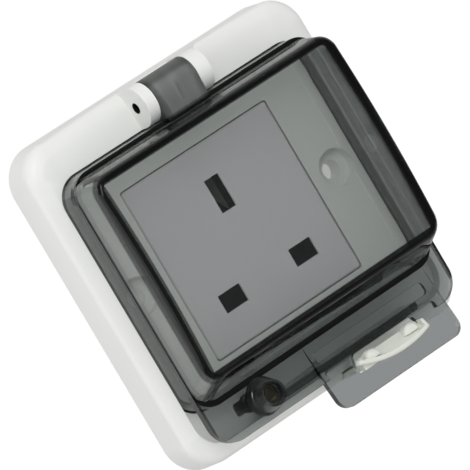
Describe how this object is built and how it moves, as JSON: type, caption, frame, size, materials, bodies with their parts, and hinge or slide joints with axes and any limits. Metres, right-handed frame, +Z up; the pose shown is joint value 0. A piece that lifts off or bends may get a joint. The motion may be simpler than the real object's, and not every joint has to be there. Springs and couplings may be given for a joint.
{
  "type": "outdoor weatherproof socket",
  "caption": "Square moulded wall socket for outdoors, with shuttered pin slots under a hinged smoked lid that is held by a sprung catch and a triangular-key lock.",
  "frame": {"origin": "middle of the line between the two fixing holes, on the wall plane", "axes": "+X to the right as seen from the front, +Y into the wall, +Z up the wall towards the lid's hinge"},
  "size_m": [0.086, 0.0494, 0.0907],
  "materials": {
    "white_moulding": "satin",
    "smoked_lid": "clear, smoke tinted",
    "seal_rubber": "matte",
    "hinge_steel": "drawn",
    "catch_nylon": "satin",
    "lock_zinc": "plated",
    "housing_moulding": "matte",
    "shutter_nylon": "matte",
    "spring_steel": "drawn",
    "contact_brass": "rolled",
    "terminal_brass": "turned",
    "screw_steel": "zinc plated"
  },
  "bodies": {
    "frame": {"front_frame": "white_moulding", "lid_seal": "seal_rubber", "wall_seal": "seal_rubber", "hinge_pin": "hinge_steel", "socket_face": "white_moulding", "socket_base": "housing_moulding", "shutter_spring": "spring_steel", "earth_contact": "contact_brass", "live_contact": "contact_brass", "neutral_contact": "contact_brass", "earth_terminal": "terminal_brass", "live_terminal": "terminal_brass", "neutral_terminal": "terminal_brass", "terminal_screws": "screw_steel", "base_screws": "screw_steel"},
    "lid": {"lid": "smoked_lid", "lock_seal": "seal_rubber"},
    "lock": {"lock_core": "lock_zinc", "lock_pin": "spring_steel", "lock_clip": "spring_steel"},
    "catch": {"lid_catch": "catch_nylon"},
    "shutter": {"shutter": "shutter_nylon"}
  },
  "joints": [
    {"name": "lid_hinge", "type": "hinge", "parent": "frame", "child": "lid", "pos_m": [-0.0008, -0.01315, 0.0377], "axis": [-1, 0, 0], "range_deg": [0, 165]},
    {"name": "lock_turn", "type": "hinge", "parent": "lid", "child": "lock", "pos_m": [-0.0218, -0.0176, -0.0342], "axis": [0, 1, 0], "range_deg": [0, 90]},
    {"name": "catch_flex", "type": "hinge", "parent": "frame", "child": "catch", "pos_m": [0.0122, -0.0031, -0.0419], "axis": [-1, 0, 0], "range_deg": [0, 2.2], "stiffness_Nm_per_rad": 1.5},
    {"name": "shutter_slide", "type": "slide", "parent": "frame", "child": "shutter", "axis": [0, 0, -1], "range_m": [0, 0.0052], "stiffness_N_per_m": 100, "springref_m": -0.002, "deforming": ["shutter_spring"]}
  ]
}
